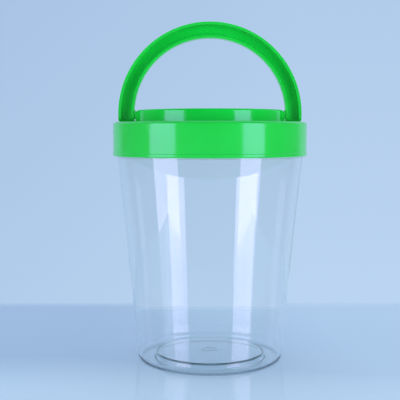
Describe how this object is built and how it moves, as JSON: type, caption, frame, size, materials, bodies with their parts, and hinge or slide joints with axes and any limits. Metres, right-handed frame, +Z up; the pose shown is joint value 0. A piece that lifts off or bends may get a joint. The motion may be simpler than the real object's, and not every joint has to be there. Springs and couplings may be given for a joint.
{
  "type": "jar with screw lid and swing handle",
  "caption": "Clear tapered food jar with a wide-mouth screw lid, a sealing liner and a semicircular swing handle on the lid.",
  "frame": {"origin": "middle of the ring that the jar stands on", "axes": "+Z up along the jar's axis, X along the handle's pivot, -Y towards the front, where the handle's channel is open"},
  "size_m": [0.14, 0.14, 0.2432],
  "materials": {
    "clear_pet": "clear, smooth and glossy, faint green-blue tint where it is thick",
    "white_foam": "closed-cell foam sheet, satin",
    "green_polypropylene": "smooth moulded gloss"
  },
  "bodies": {
    "jar": {"jar": "clear_pet"},
    "liner": {"sealing_liner": "white_foam"},
    "lid": {"lid": "green_polypropylene"},
    "handle": {"handle": "green_polypropylene"}
  },
  "joints": [
    {"name": "lid_rise", "type": "slide", "parent": "jar", "child": "liner", "axis": [0, 0, 1], "range_m": [0, 0.024]},
    {"name": "lid_turn", "type": "hinge", "parent": "liner", "child": "lid", "pos_m": [0, 0, 0.16], "axis": [0, 0, 1], "range_deg": [0, 1440]},
    {"name": "handle_swing", "type": "hinge", "parent": "lid", "child": "handle", "pos_m": [0, 0, 0.1773], "axis": [1, 0, 0], "range_deg": [-90, 90]}
  ],
  "couplings": [
    {"joint": "lid_rise", "follows": "lid_turn", "m_per_rad": 0.00095493}
  ]
}
